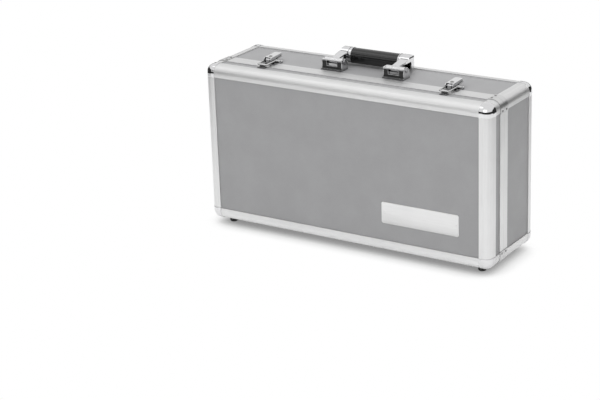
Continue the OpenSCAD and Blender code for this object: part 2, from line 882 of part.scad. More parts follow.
// Key cylinder in the lever, with the keyway on top and a cam that turns under the keeper
module lock_cylinder() {
    head = 0.5;
    keyway = [1.1, 3.6, 1.4];
    top = lever_nose_r + head;
    color(brass) tilted_on_pivot() translate([0, lock_along, 0]) difference() {
        union() {
            translate([0, 0, lock_cam_low + lock_cam_t - eps])
                cylinder(r = lock_r, h = top - lock_cam_low - lock_cam_t + eps);
            translate([0, 0, lock_cam_low]) intersection() {
                translate([-2, -2, 0]) cube([4, lock_cam_r + 4, lock_cam_t]);
                cylinder(r = lock_cam_r, h = lock_cam_t);
            }
        }
        translate([-keyway.x / 2, -keyway.y / 2, top - keyway.z]) cube(keyway + [0, 0, 1]);
    }
}

module lock_cylinder_right() { latch_right() lock_cylinder(); }
module lock_cylinder_left() { latch_left() lock_cylinder(); }

// Wire loop: two arms, two bends and a crossbar, with ends turned in through the lever
module latch_loop() {
    bend_r = 3;
    reach = norm(crossbar - loop_pivot);
    droop = atan2(loop_pivot.y - crossbar.y, loop_pivot.x - crossbar.x);
    end_in = lever_in;
    color(chrome) translate([0, loop_pivot.x, loop_pivot.y]) rotate([droop, 0, 0]) {
        translate([bend_r - arm_x, -reach, 0]) rotate([0, 90, 0])
            cylinder(r = wire_r, h = 2 * (arm_x - bend_r));
        for (side = [0, 1]) mirror([side, 0, 0]) {
            translate([arm_x, 0, 0]) rotate([90, 0, 0]) cylinder(r = wire_r, h = reach - bend_r);
            translate([arm_x - bend_r, bend_r - reach, 0]) rotate([0, 0, -90])
                rotate_extrude(angle = 90) translate([bend_r, 0]) circle(wire_r);
            translate([end_in, 0, 0]) rotate([0, 90, 0]) cylinder(r = wire_r, h = arm_x - end_in);
            translate([arm_x, 0, 0]) sphere(wire_r);
        }
    }
}

module latch_loop_right() { latch_right() latch_loop(); }
module latch_loop_left() { latch_left() latch_loop(); }

// Catch on the lid: a plate on the panel, with a lip for the loop
module latch_catch() {
    rear = -rim_w - 0.3;
    front = -crossbar_front - 3.6;
    lip_front = -crossbar_front + wire_r + 0.45;
    lip_w = catch_w - 3;
    color(chrome) {
        translate([-catch_w / 2, front, -skin]) cube([catch_w, rear - front, skin]);
        widen(-lip_w / 2, lip_w / 2) {
            translate([lip_front, -eps]) square([lip_t, lip_h - lip_t / 2]);
            translate([lip_front + lip_t / 2, lip_h - lip_t / 2]) circle(lip_t / 2);
        }
    }
}

module latch_catch_right() { latch_right() latch_catch(); }
module latch_catch_left() { latch_left() latch_catch(); }

// ---------------------------------------------------------------- drawing

base_back_panel();
base_top_panel();
base_bottom_panel();
base_left_panel();
base_right_panel();
base_back_edge_top();
base_back_edge_bottom();
base_back_edge_left();
base_back_edge_right();
base_depth_edges();
base_rim_top();
base_rim_bottom();
base_rim_sides();
base_rim_bends();
base_rim_clamps();
base_ball_corners();
base_foam_pad();
base_foam_walls();
base_feet();
base_hinge_leaves();
hinge_pins();
handle_bracket_left();
handle_bracket_right();
handle_pins();
latch_base_left();
latch_base_right();
latch_pins();
lid_front_panel();
lid_top_panel();
lid_bottom_panel();
lid_left_panel();
lid_right_panel();
lid_front_edge_top();
lid_front_edge_bottom();
lid_front_edge_left();
lid_front_edge_right();
lid_depth_edges();
lid_rim_top();
lid_rim_bottom();
lid_rim_sides();
lid_rim_bends();
lid_rim_clamps();
lid_ball_corners();
lid_foam_pad();
lid_foam_walls();
lid_feet();
lid_hinge_leaves();
latch_catch_left();
latch_catch_right();
handle_arm_left();
handle_arm_right();
handle_grip();
handle_core();
latch_lever_left();
latch_lever_right();
latch_loop_left();
latch_loop_right();
lock_cylinder_left();
lock_cylinder_right();
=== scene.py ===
"""Finish of a guitar pedal case: laminated panels in aluminium edge profiles, chromed hardware,
foam lining. Lengths are in metres. X runs along the case, the lid faces -Y, and the feet stand at Z = 0."""

import math

import bmesh
import bpy
from mathutils import Matrix, Vector, noise


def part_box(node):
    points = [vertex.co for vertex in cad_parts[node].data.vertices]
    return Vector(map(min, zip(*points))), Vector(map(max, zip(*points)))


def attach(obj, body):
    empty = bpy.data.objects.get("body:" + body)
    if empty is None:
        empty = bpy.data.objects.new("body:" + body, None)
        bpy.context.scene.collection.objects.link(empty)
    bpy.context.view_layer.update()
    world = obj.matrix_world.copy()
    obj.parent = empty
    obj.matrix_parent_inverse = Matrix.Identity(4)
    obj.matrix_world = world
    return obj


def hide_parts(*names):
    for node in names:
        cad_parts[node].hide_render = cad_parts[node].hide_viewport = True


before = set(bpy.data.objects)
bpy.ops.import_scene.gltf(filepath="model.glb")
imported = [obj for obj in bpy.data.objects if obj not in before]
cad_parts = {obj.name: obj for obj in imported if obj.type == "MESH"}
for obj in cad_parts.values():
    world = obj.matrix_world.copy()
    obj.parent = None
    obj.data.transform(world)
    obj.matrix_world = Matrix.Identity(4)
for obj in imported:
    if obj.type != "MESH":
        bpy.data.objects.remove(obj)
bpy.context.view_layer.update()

MM = 0.001
SEAM = -29 * MM  # where the lid meets the base
TOP = 270 * MM  # outer face of the top edge profiles
BOTTOM = 10 * MM  # outer face of the bottom edge profiles
HALF_W = 255 * MM  # outer faces of the edge profiles at the sides
CLAMP = 0.8 * MM  # thickness of the clamps over the rims
SUNK = 0.2 * MM  # how far the head of a rivet or screw reaches below its seat
ARC_STEPS = 6  # steps of the curve on such a head
SIDES = {"left": -1, "right": 1}


# ---------------------------------------------------------------- node trees


def feed(tree, socket, value):
    """Gives a socket a plain value, or links it to the socket that feeds it."""
    if isinstance(value, bpy.types.NodeSocket):
        tree.links.new(value, socket)
    else:
        socket.default_value = value


def put(tree, kind, settings=None, **inputs):
    """Adds a node. An input is named by its label, or by its place as i0, i1."""
    node = tree.nodes.new("ShaderNode" + kind)
    for key, value in (settings or {}).items():
        setattr(node, key, value)
    for key, value in inputs.items():
        by_place = key[0] == "i" and key[1:].isdigit()
        feed(tree, node.inputs[int(key[1:]) if by_place else key.replace("_", " ")], value)
    return node


def calc(tree, operation, a, b=0.0, clamp=False):
    return put(tree, "Math", {"operation": operation, "use_clamp": clamp}, i0=a, i1=b).outputs[0]


def spread(tree, value, low, high, to_low=0.0, to_high=1.0):
    """Maps a value from one span to another, and stops at its ends."""
    keys = {"Value": value, "From_Min": low, "From_Max": high, "To_Min": to_low, "To_Max": to_high}
    return put(tree, "MapRange", {"clamp": True}, **keys).outputs[0]


def blend_colours(tree, share, dark, light):
    node = put(tree, "Mix", {"data_type": "RGBA"}, i0=share, i6=dark, i7=light)
    return node.outputs[2]


def start_group(name, inputs, outputs):
    """An empty shader group with its sockets. inputs maps a label to its value, outputs to its kind."""
    tree = bpy.data.node_groups.new(name, "ShaderNodeTree")
    for label, value in inputs.items():
        kind = "NodeSocketVector" if isinstance(value, tuple) else "NodeSocketFloat"
        socket = tree.interface.new_socket(label, in_out="INPUT", socket_type=kind)
        socket.default_value = value
    for label, kind in outputs.items():
        tree.interface.new_socket(label, in_out="OUTPUT", socket_type="NodeSocket" + kind)
    return tree, tree.nodes.new("NodeGroupInput").outputs, tree.nodes.new("NodeGroupOutput").inputs


def use_group(tree, group, **inputs):
    node = tree.nodes.new("ShaderNodeGroup")
    node.node_tree = group
    for key, value in inputs.items():
        feed(tree, node.inputs[key.replace("_", " ")], value)
    return node.outputs


def make_softened_edges():
    """Rounds sharp edges in the shading, and marks them for wear."""
    inputs = {"Radius": 0.0004, "Patchiness": 600.0}
    tree, given, out = start_group("softened edges", inputs, {"Normal": "Vector", "Worn": "Float"})
    rounded = put(tree, "Bevel", {"samples": 6}, Radius=given["Radius"]).outputs[0]
    flat = put(tree, "NewGeometry").outputs["Normal"]
    along = put(tree, "VectorMath", {"operation": "DOT_PRODUCT"}, i0=rounded, i1=flat).outputs["Value"]
    turned = spread(tree, calc(tree, "SUBTRACT", 1.0, along), 0.02, 0.25)
    place = put(tree, "TexCoord").outputs["Object"]
    patches = put(tree, "TexNoise", Vector=place, Scale=given["Patchiness"], Detail=3.0).outputs[0]
    worn = calc(tree, "MULTIPLY", turned, spread(tree, patches, 0.42, 0.62))
    tree.links.new(rounded, out["Normal"])
    tree.links.new(worn, out["Worn"])
    return tree


def make_drawn_lines():
    """Fine lines that a die or a brush leaves along a profile. Stretch is small along the lines."""
    inputs = {"Stretch": (0.02, 1.0, 1.0), "Lines": 2600.0}
    tree, given, out = start_group("drawn lines", inputs, {"Height": "Float", "Tone": "Float"})
    place = put(tree, "TexCoord").outputs["Object"]
    pulled = put(tree, "VectorMath", {"operation": "MULTIPLY"}, i0=place, i1=given["Stretch"]).outputs[0]
    fine = put(tree, "TexNoise", Vector=pulled, Scale=given["Lines"], Detail=4.0, Roughness=0.65).outputs[0]
    wide_scale = calc(tree, "MULTIPLY", given["Lines"], 0.11)
    wide = put(tree, "TexNoise", Vector=pulled, Scale=wide_scale, Detail=2.0).outputs[0]
    tree.links.new(fine, out["Height"])
    both = calc(tree, "ADD", calc(tree, "MULTIPLY", fine, 0.6), calc(tree, "MULTIPLY", wide, 0.4))
    tree.links.new(spread(tree, both, 0.3, 0.7), out["Tone"])
    return tree


def make_pebble_grain():
    """Rounded grain of moulded plastic, laminate or rubber."""
    inputs = {"Grains": 1500.0, "Mottle": 25.0}
    outputs = {"Height": "Float", "Tone": "Float"}
    tree, given, out = start_group("pebble grain", inputs, outputs)
    place = put(tree, "TexCoord").outputs["Object"]
    wobble = put(tree, "TexNoise", Vector=place, Scale=given["Grains"], Detail=2.0).outputs[1]
    shift = put(tree, "VectorMath", {"operation": "SCALE"}, i0=wobble, Scale=0.0003).outputs[0]
    moved = put(tree, "VectorMath", {"operation": "ADD"}, i0=place, i1=shift).outputs[0]
    cells = put(tree, "TexVoronoi", {"feature": "SMOOTH_F1"}, Vector=moved, Scale=given["Grains"]).outputs[0]
    pebbles = spread(tree, cells, 0.0, 0.75, 1.0, 0.0)
    mottle = put(tree, "TexNoise", Vector=place, Scale=given["Mottle"], Detail=5.0, Roughness=0.6).outputs[0]
    tree.links.new(pebbles, out["Height"])
    tone = calc(tree, "ADD", calc(tree, "MULTIPLY", pebbles, 0.35), calc(tree, "MULTIPLY", mottle, 0.65))
    tree.links.new(tone, out["Tone"])
    return tree


def make_handling_marks():
    """Faint smears and dust where a surface has been touched and wiped."""
    inputs = {"Size": 14.0, "Amount": 1.0}
    tree, given, out = start_group("handling marks", inputs, {"Smear": "Float", "Dust": "Float"})
    place = put(tree, "TexCoord").outputs["Object"]
    broad = put(tree, "TexNoise", Vector=place, Scale=given["Size"], Detail=6.0, Distortion=0.8).outputs[0]
    smear = calc(tree, "MULTIPLY", spread(tree, broad, 0.45, 0.7), given["Amount"])
    specks = put(tree, "TexNoise", Vector=place, Scale=2400.0, Detail=2.0).outputs[0]
    dust = calc(tree, "MULTIPLY", spread(tree, specks, 0.68, 0.76), smear)
    tree.links.new(smear, out["Smear"])
    tree.links.new(dust, out["Dust"])
    return tree


def make_painted_recess_shade():
    """Painted shade: a mask, from ambient occlusion, of the corners and gaps where small pieces meet, which
    darkens bright metal there.
    """
    tree, given, out = start_group("painted shade in recesses", {"Reach": 0.009}, {"Painted shade": "Float"})
    open_share = put(tree, "AmbientOcclusion", {"samples": 8}, Distance=given["Reach"]).outputs["AO"]
    place = put(tree, "TexCoord").outputs["Object"]
    patches = put(tree, "TexNoise", Vector=place, Scale=500.0, Detail=2.0).outputs[0]
    uneven = calc(tree, "MULTIPLY", spread(tree, patches, 0.3, 0.7), 0.15)
    closed = spread(tree, calc(tree, "SUBTRACT", open_share, uneven), 0.32, 0.88, 1.0, 0.0)
    tree.links.new(closed, out["Painted shade"])
    return tree


softened_edges = make_softened_edges()
painted_recess_shade = make_painted_recess_shade()
drawn_lines = make_drawn_lines()
pebble_grain = make_pebble_grain()
handling_marks = make_handling_marks()


# ---------------------------------------------------------------- finishes


def new_finish(name, metallic=0.0, **plain):
    material = bpy.data.materials.new(name)
    material.use_nodes = True
    surface = material.node_tree.nodes["Principled BSDF"]
    surface.inputs["Metallic"].default_value = metallic
    for key, value in plain.items():
        surface.inputs[key.replace("_", " ")].default_value = value
    return material, material.node_tree, surface


def grey(tone, blue=1.0):
    return (tone, tone, tone * blue, 1.0)


# The near black of the painted shade in the gaps and corners of bright metal.
PAINTED_SHADE = grey(0.03)
DUST = grey(0.6)


def metal(name, dark, light, rough, edge, stretch=None, lines=2600.0, depth=0.00002, recess_shade=0.0):
    """A metal with lines along the axis where stretch is small, or else a fine cast grain.

    lines is how close the lines or grains lie, and the last argument is how strongly painted shade darkens
    the gaps and corners."""
    material, tree, surface = new_finish(name, metallic=1.0)
    corners = use_group(tree, softened_edges, Radius=edge)
    marks = use_group(tree, handling_marks, Size=16.0)
    if stretch:
        grain = use_group(tree, drawn_lines, Stretch=stretch, Lines=lines)
    else:
        grain = use_group(tree, pebble_grain, Grains=lines, Mottle=60.0)
    colour = blend_colours(tree, grain["Tone"], dark, light)
    colour = blend_colours(tree, calc(tree, "MULTIPLY", corners["Worn"], 0.5), colour, light)
    # Painted shade: ambient occlusion darkens the gaps and corners towards near black.
    if recess_shade:
        painted_shade_share = calc(tree, "MULTIPLY", use_group(tree, painted_recess_shade)["Painted shade"], recess_shade)
        colour = blend_colours(tree, painted_shade_share, colour, PAINTED_SHADE)
    tree.links.new(colour, surface.inputs["Base Color"])
    streaks = calc(tree, "MULTIPLY", grain["Tone"], 0.06)
    touched = calc(tree, "MULTIPLY", marks["Smear"], 0.06)
    roughness = calc(tree, "ADD", rough, calc(tree, "ADD", streaks, touched), clamp=True)
    tree.links.new(roughness, surface.inputs["Roughness"])
    bump = put(tree, "Bump", Strength=0.35, Distance=depth, Height=grain["Height"], Normal=corners["Normal"])
    tree.links.new(bump.outputs[0], surface.inputs["Normal"])
    return material


def moulded(name, dark, light, rough, edge, grains, depth, mottle=25.0, wear=0.3, dusty=0.15):
    """A plastic, laminate or rubber with a pebbled face, paler where its edges are rubbed."""
    material, tree, surface = new_finish(name)
    corners = use_group(tree, softened_edges, Radius=edge)
    marks = use_group(tree, handling_marks, Size=10.0)
    grain = use_group(tree, pebble_grain, Grains=grains, Mottle=mottle)
    share = spread(tree, grain["Tone"], 0.35, 0.75)
    colour = blend_colours(tree, share, dark, light)
    rubbed = tuple(min(1.0, 1.5 * c + 0.02) for c in light[:3]) + (1.0,)
    colour = blend_colours(tree, calc(tree, "MULTIPLY", corners["Worn"], wear), colour, rubbed)
    colour = blend_colours(tree, calc(tree, "MULTIPLY", marks["Dust"], dusty), colour, DUST)
    tree.links.new(colour, surface.inputs["Base Color"])
    uneven = calc(tree, "MULTIPLY", marks["Smear"], 0.07)
    roughness = calc(tree, "ADD", rough, calc(tree, "SUBTRACT", uneven, calc(tree, "MULTIPLY", share, 0.04)))
    tree.links.new(roughness, surface.inputs["Roughness"])
    bump = put(tree, "Bump", Strength=0.5, Distance=depth, Height=grain["Height"], Normal=corners["Normal"])
    tree.links.new(bump.outputs[0], surface.inputs["Normal"])
    return material


along_x, along_y, along_z = (0.02, 1, 1), (1, 0.02, 1), (1, 1, 0.02)
profile_tones = {"dark": grey(0.68), "light": grey(0.79), "rough": 0.44, "edge": 0.0005}
profile_x = metal("satin anodised profile, lines along the width", stretch=along_x, **profile_tones)
profile_y = metal("satin anodised profile, lines along the depth", stretch=along_y, **profile_tones)
profile_z = metal("satin anodised profile, lines along the height", stretch=along_z, **profile_tones)
bent_profile = metal("satin anodised bend", stretch=(1, 0.25, 1), **profile_tones)
chrome_tones = {"dark": grey(0.62, 1.01), "light": grey(0.7, 1.01)}
chrome = metal(
    "bright chrome plate", rough=0.06, edge=0.0004, lines=900.0, depth=0.000012, recess_shade=0.9, **chrome_tones
)
chrome_cast = metal(
    "chromed casting", rough=0.05, edge=0.0005, lines=260.0, depth=0.00003, **chrome_tones
)
wire_chrome = metal(
    "drawn chromed wire", grey(0.6), grey(0.7), 0.12, 0.0002, lines=1400.0, depth=0.00001, recess_shade=0.7
)
zinc = metal(
    "zinc plated steel", grey(0.5, 1.02), grey(0.62, 1.02), 0.3, 0.0003, stretch=along_x, lines=1800.0
)
clamp_nickel = metal(
    "satin nickel plate", grey(0.58), grey(0.7), 0.34, 0.0003, lines=900.0, depth=0.000012, recess_shade=0.6
)
rivet_steel = metal("rivet steel", grey(0.16), grey(0.28), 0.24, 0.0002, lines=1600.0)
nickel_brass = metal("nickel plated brass", grey(0.3, 0.97), grey(0.42, 0.97), 0.2, 0.0002, lines=1500.0)
plate_silver = metal("silver name plate", grey(0.68), grey(0.76), 0.36, 0.0003, stretch=along_x, lines=3000.0)
laminate = moulded(
    "grey laminate", grey(0.29, 1.015), grey(0.327, 1.02), 0.44, 0.0005, 1700.0, 0.00004, wear=0.4, dusty=0.1
)
grip_plastic = moulded(
    "black grip plastic", grey(0.007), grey(0.014), 0.14, 0.0006, 1300.0, 0.00004, mottle=90.0, wear=0.12
)
glossy_black = moulded("glossy black field", grey(0.008), grey(0.016), 0.16, 0.0003, 900.0, 0.000015, mottle=60.0)
foot_rubber = moulded("black rubber", grey(0.01), grey(0.024), 0.55, 0.0005, 1100.0, 0.00006, mottle=120.0)


def make_foam():
    """Open cells of the lining: pale ribs with painted shade darkening the pits between them, and a soft nap.
    """
    material, tree, surface = new_finish("grey lining foam", Sheen_Weight=0.25, Sheen_Roughness=0.5)
    place = put(tree, "TexCoord").outputs["Object"]
    pits = put(tree, "TexVoronoi", Vector=place, Scale=900.0, Randomness=1.0).outputs[0]
    broad = put(tree, "TexNoise", Vector=place, Scale=30.0, Detail=4.0).outputs[0]
    cell = spread(tree, pits, 0.1, 0.6)
    # The pits are painted darker, as shade in each cell. Broad patches vary the tone at random.
    tone = calc(tree, "ADD", calc(tree, "MULTIPLY", cell, 0.7), calc(tree, "MULTIPLY", broad, 0.3))
    tree.links.new(blend_colours(tree, tone, grey(0.02), grey(0.075, 1.03)), surface.inputs["Base Color"])
    tree.links.new(spread(tree, broad, 0.3, 0.7, 0.88, 0.97), surface.inputs["Roughness"])
    bump = put(tree, "Bump", Strength=0.8, Distance=0.0004, Height=cell)
    tree.links.new(bump.outputs[0], surface.inputs["Normal"])
    return material


lining_foam = make_foam()


# ---------------------------------------------------------------- finishes on the CAD nodes


def finish_of(node):
    if "foam" in node:
        return lining_foam
    if "panel" in node:
        return laminate
    if "feet" in node:
        return foot_rubber
    if "ball_corners" in node:
        return chrome_cast
    if "clamps" in node:
        return clamp_nickel
    if "rim_bends" in node:
        return bent_profile
    if node.endswith(("edge_left", "edge_right", "rim_sides")):
        return profile_z
    if "depth_edges" in node:
        return profile_y
    if node.endswith(("edge_top", "edge_bottom", "rim_top", "rim_bottom")):
        return profile_x
    if "hinge" in node or node in ("handle_core", "handle_pins", "latch_pins"):
        return zinc
    if node == "handle_grip":
        return grip_plastic
    if "loop" in node:
        return wire_chrome
    if "lock" in node:
        return nickel_brass
    return chrome


for name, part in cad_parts.items():
    part.data.materials.clear()
    part.data.materials.append(finish_of(name))


# ---------------------------------------------------------------- small meshes


def new_piece(name, mesh, material, body, smooth=True):
    """Turns a bmesh in the row frame into a piece that rides on a body."""
    data = bpy.data.meshes.new(name)
    bmesh.ops.recalc_face_normals(mesh, faces=mesh.faces)
    mesh.to_mesh(data)
    mesh.free()
    data.materials.append(material)
    if smooth:
        data.shade_smooth()
        data.set_sharp_from_angle(angle=math.radians(38))
    piece = bpy.data.objects.new(name, data)
    bpy.context.scene.collection.objects.link(piece)
    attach(piece, body)
    return piece


def lathe(mesh, profile, place, steps=28):
    """Turns a profile of (radius, height) round the local Z axis. A zero radius closes it."""
    rings = []
    for radius, height in profile:
        if radius < 1e-9:
            rings.append([mesh.verts.new(place @ Vector((0, 0, height)))])
            continue
        ring = []
        for i in range(steps):
            turn = 2 * math.pi * i / steps
            point = Vector((radius * math.cos(turn), radius * math.sin(turn), height))
            ring.append(mesh.verts.new(place @ point))
        rings.append(ring)
    for low, high in zip(rings, rings[1:]):
        for i in range(steps):
            j = (i + 1) % steps
            corners = [low[i % len(low)], low[j % len(low)], high[j % len(high)], high[i % len(high)]]
            mesh.faces.new(list(dict.fromkeys(corners)))


def pointing(at, normal):
    """The place of a small part that stands on a surface at a point, with its axis along the normal."""
    return Matrix.Translation(at) @ Vector(normal).to_track_quat("Z", "Y").to_matrix().to_4x4()


def dome_profile(radius, height):
    """A rivet's head: a closed underside, a short wall and a round top."""
    wall, waist = 0.18, 0.97
    points = [(0, -SUNK), (radius, -SUNK), (radius, height * wall)]
    for i in range(1, ARC_STEPS + 1):
        turn = math.pi / 2 * i / ARC_STEPS
        points.append((radius * math.cos(turn) * waist, height * (wall + (1 - wall) * math.sin(turn))))
    points[-1] = (0, height)
    return points


def rivets(name, places, body, radius, height, material=rivet_steel):
    """One piece of several rivets. places holds (point, normal)."""
    mesh = bmesh.new()
    for at, normal in places:
        lathe(mesh, dome_profile(radius, height), pointing(at, normal))
    new_piece(name, mesh, material, body)


def screw_head(radius, height):
    """A pan head with a cross recess, standing on Z = 0."""
    head = bmesh.new()
    wall, flat = 0.3, 0.25
    points = [(0, -SUNK), (radius, -SUNK), (radius, wall * height)]
    for i in range(1, ARC_STEPS + 1):
        turn = math.pi / 2 * i / ARC_STEPS
        out = radius * (flat + (1 - flat) * math.cos(turn))
        points.append((out, height * (wall + (1 - wall) * math.sin(turn))))
    points.append((0, height))
    lathe(head, points, Matrix.Identity(4))
    bmesh.ops.recalc_face_normals(head, faces=head.faces)
    cross = bmesh.new()
    arm, width = 0.62 * radius, 0.2 * radius
    for turn in (0, math.pi / 2):
        size = Matrix.Diagonal((2 * arm, width, 2 * height, 1))
        place = Matrix.Translation((0, 0, 1.5 * height)) @ Matrix.Rotation(turn, 4, "Z") @ size
        bmesh.ops.create_cube(cross, size=1, matrix=place)
    objects = []
    for name, source in (("head", head), ("cross", cross)):
        data = bpy.data.meshes.new("screw " + name)
        source.to_mesh(data)
        source.free()
        objects.append(bpy.data.objects.new("screw_" + name, data))
        bpy.context.scene.collection.objects.link(objects[-1])
    cut = objects[0].modifiers.new("recess", "BOOLEAN")
    cut.operation, cut.solver, cut.object, cut.use_self = "DIFFERENCE", "EXACT", objects[1], True
    shown = objects[0].evaluated_get(bpy.context.evaluated_depsgraph_get())
    result = bpy.data.meshes.new_from_object(shown)
    for made in objects:
        bpy.data.objects.remove(made)
    return result


def screws(name, places, body, radius, height):
    """One piece of several screws. places holds (point, normal, turn of the cross)."""
    head = screw_head(radius, height)
    mesh = bmesh.new()
    for at, normal, turn in places:
        single = head.copy()
        single.transform(pointing(at, normal) @ Matrix.Rotation(turn, 4, "Z"))
        mesh.from_mesh(single)
        bpy.data.meshes.remove(single)
    new_piece(name, mesh, zinc, body)


# ---------------------------------------------------------------- rivets and screws


def clamp_rivets(body, side_of_seam):
    """Two rivets on each clamp over a corner of the rim."""
    y = SEAM + side_of_seam * 6.2 * MM
    from_middle = 237.6 * MM
    heights = (252.6 * MM, 27.4 * MM)
    places = []
    for x_sign in (-1, 1):
        for z, up in ((TOP + CLAMP, 1), (BOTTOM - CLAMP, -1)):
            places.append(((x_sign * from_middle, y, z), (0, 0, up)))
        for z in heights:
            places.append(((x_sign * (HALF_W + CLAMP), y, z), (x_sign, 0, 0)))
    rivets(body + "_clamp_rivets", places, body, radius=1.8 * MM, height=0.8 * MM)


clamp_rivets("base", 1)
clamp_rivets("lid", -1)


def latch_rivets():
    """Two small rivets in each catch, and one at each corner of a latch's base plate."""
    up = (0, 0, 1)
    catch_y = -46.9 * MM
    plate_top = TOP + 1.5 * MM
    corners = [(dx, y) for dx in (-11.3, 11.3) for y in (-24.6, -8.2)]
    for side, sign in SIDES.items():
        x = sign * 163 * MM
        front = [((x + dx * MM, catch_y, TOP), up) for dx in (-3.6, 3.6)]
        rivets("catch_rivets_" + side, front, "lid", radius=1.0 * MM, height=0.5 * MM)
        rear = [((x + dx * MM, y * MM, plate_top), up) for dx, y in corners]
        rivets("latch_rivets_" + side, rear, "base", radius=1.3 * MM, height=0.6 * MM)


latch_rivets()


def foot_screws():
    """One screw in the recess of each foot, seen from below."""
    foot_x, recess = 229 * MM, 6 * MM
    for body, y in (("base", 48 * MM), ("lid", -48 * MM)):
        places = [((sign * foot_x, y, recess), (0, 0, -1), 0.4 * sign) for sign in (-1, 1)]
        screws(body + "_foot_screws", places, body, radius=2.6 * MM, height=1.5 * MM)


foot_screws()


def hinge_screws():
    """Three screws in each leaf, from below."""
    hinge_x, spacing = 150, 22
    leaf_under = 8.6 * MM
    for body, sign in (("base", 1), ("lid", -1)):
        y = SEAM + sign * 8.2 * MM
        places = []
        for x_sign in (-1, 1):
            for dx in (-spacing, 0, spacing):
                at = (x_sign * (hinge_x + dx) * MM, y, leaf_under)
                places.append((at, (0, 0, -1), 0.3 * dx + x_sign))
        screws(body + "_hinge_screws", places, body, radius=1.8 * MM, height=0.8 * MM)


hinge_screws()


def bracket_fields():
    """A glossy black field round the slot of each handle bracket, a little proud of the chrome."""
    outline = [
        (38.4, 271.4), (72.6, 271.4), (72.6, 282.9), (65.4, 282.9), (65.4, 274.9),
        (45.6, 274.9), (45.6, 282.9), (38.4, 282.9)
    ]
    face, sunk, proud = -8 * MM, 0.2 * MM, 0.25 * MM
    for side, sign in SIDES.items():
        mesh = bmesh.new()
        back = [mesh.verts.new((sign * x * MM, face + sunk, z * MM)) for x, z in outline]
        front = [mesh.verts.new((sign * x * MM, face - proud, z * MM)) for x, z in outline]
        for i in range(len(outline)):
            j = (i + 1) % len(outline)
            mesh.faces.new((back[i], back[j], front[j], front[i]))
        mesh.faces.new(back)
        mesh.faces.new(front)
        new_piece("bracket_field_" + side, mesh, glossy_black, "base", smooth=False)


bracket_fields()


# ---------------------------------------------------------------- bare name plate


def rounded_outline(width, height, radius, steps=8):
    points = []
    for cx, cz, start in ((1, 1, 0), (-1, 1, 90), (-1, -1, 180), (1, -1, 270)):
        for i in range(steps + 1):
            turn = math.radians(start + 90 * i / steps)
            x = cx * (width / 2 - radius) + radius * math.cos(turn)
            z = cz * (height / 2 - radius) + radius * math.sin(turn)
            points.append((x, z))
    return points


def name_plate():
    """A bare metal plate with a raised rim, riveted to the front panel."""
    middle = Vector((135 * MM, -72.4 * MM, 74.6 * MM))
    width, height, radius = 134 * MM, 35 * MM, 3.2 * MM
    layers = [(0, -0.1), (0, 0.6), (0.12, 0.72), (0.3, 0.8), (1.0, 0.8), (1.3, 0.62), (1.5, 0.55)]
    mesh = bmesh.new()
    rings = []
    for inset, out in layers:
        shrink = 2 * inset * MM
        outline = rounded_outline(width - shrink, height - shrink, radius - inset * MM)
        rings.append([mesh.verts.new(middle + Vector((x, -out * MM, z))) for x, z in outline])
    for low, high in zip(rings, rings[1:]):
        for i in range(len(low)):
            j = (i + 1) % len(low)
            mesh.faces.new((low[i], low[j], high[j], high[i]))
    mesh.faces.new(rings[0])
    mesh.faces.new(rings[-1])
    new_piece("name_plate", mesh, plate_silver, "lid")
    places = [(middle + Vector((x * MM, -0.55 * MM, 0)), (0, -1, 0)) for x in (-62.6, 62.6)]
    rivets("name_plate_rivets", places, "lid", radius=1.25 * MM, height=0.55 * MM, material=plate_silver)


name_plate()


# ---------------------------------------------------------------- foam lining


def add_foam_block(mesh, low, high, radius, crown):
    """A soft slab inside a box: round edges, a slight crown and an uneven cut face."""
    step, roughness, waves = 6 * MM, 0.25 * MM, 45
    size = [high[i] - low[i] for i in range(3)]
    middle = Vector([(low[i] + high[i]) / 2 for i in range(3)])
    half = Vector(size) / 2
    block = bmesh.new()
    bmesh.ops.create_cube(block, size=2)
    for axis in range(3):
        cuts = max(2, round(size[axis] / step))
        edges = [e for e in block.edges if abs(e.verts[0].co[axis] - e.verts[1].co[axis]) > 1.9]
        bmesh.ops.subdivide_edges(block, edges=edges, cuts=cuts, use_grid_fill=True)
    thin = size.index(min(size))
    wide = [axis for axis in range(3) if axis != thin]
    for vert in block.verts:
        flat = Vector([vert.co[i] * half[i] for i in range(3)])
        core = Vector([max(-half[i] + radius, min(half[i] - radius, flat[i])) for i in range(3)])
        away = flat - core
        point = core + away.normalized() * radius if away.length > 1e-9 else flat
        rise = 1.0
        for axis in wide:
            rise *= 1 - min(1.0, abs(point[axis]) / half[axis]) ** 6
        dip = crown * (1 - rise)
        ripple = roughness * (noise.noise(waves * (point + middle)) - 1)
        if abs(point[thin]) > 0.1 * MM:
            point[thin] += math.copysign(min(0.0, ripple) - dip, point[thin])
        vert.co = point + middle
    data = bpy.data.meshes.new("block")
    block.to_mesh(data)
    block.free()
    mesh.from_mesh(data)
    bpy.data.meshes.remove(data)


def foam_pad(body):
    """The thick pad on the back or front panel."""
    low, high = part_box(body + "_foam_pad")
    mesh = bmesh.new()
    add_foam_block(mesh, low, high, radius=2.4 * MM, crown=0.9 * MM)
    pad = new_piece(body + "_lining_pad", mesh, lining_foam, body)
    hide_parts(body + "_foam_pad")


def foam_walls(body):
    """Two level slabs, kept clear of the rims' bends, and two upright ones between them."""
    low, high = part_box(body + "_foam_walls")
    thick, gap, inset = 8 * MM, 0.3 * MM, 1.3 * MM
    soft = {"radius": 1.8 * MM, "crown": 0.6 * MM}
    mesh = bmesh.new()
    for z1, z2 in ((low[2], low[2] + thick), (high[2] - thick, high[2])):
        add_foam_block(mesh, (low[0] + inset, low[1], z1), (high[0] - inset, high[1], z2), **soft)
    for x1, x2 in ((low[0], low[0] + thick), (high[0] - thick, high[0])):
        corner_low = (x1, low[1], low[2] + thick + gap)
        add_foam_block(mesh, corner_low, (x2, high[1], high[2] - thick - gap), **soft)
    walls = new_piece(body + "_lining_walls", mesh, lining_foam, body)
    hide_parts(body + "_foam_walls")


for shell in ("base", "lid"):
    foam_pad(shell)
    foam_walls(shell)


# ---------------------------------------------------------------- camera


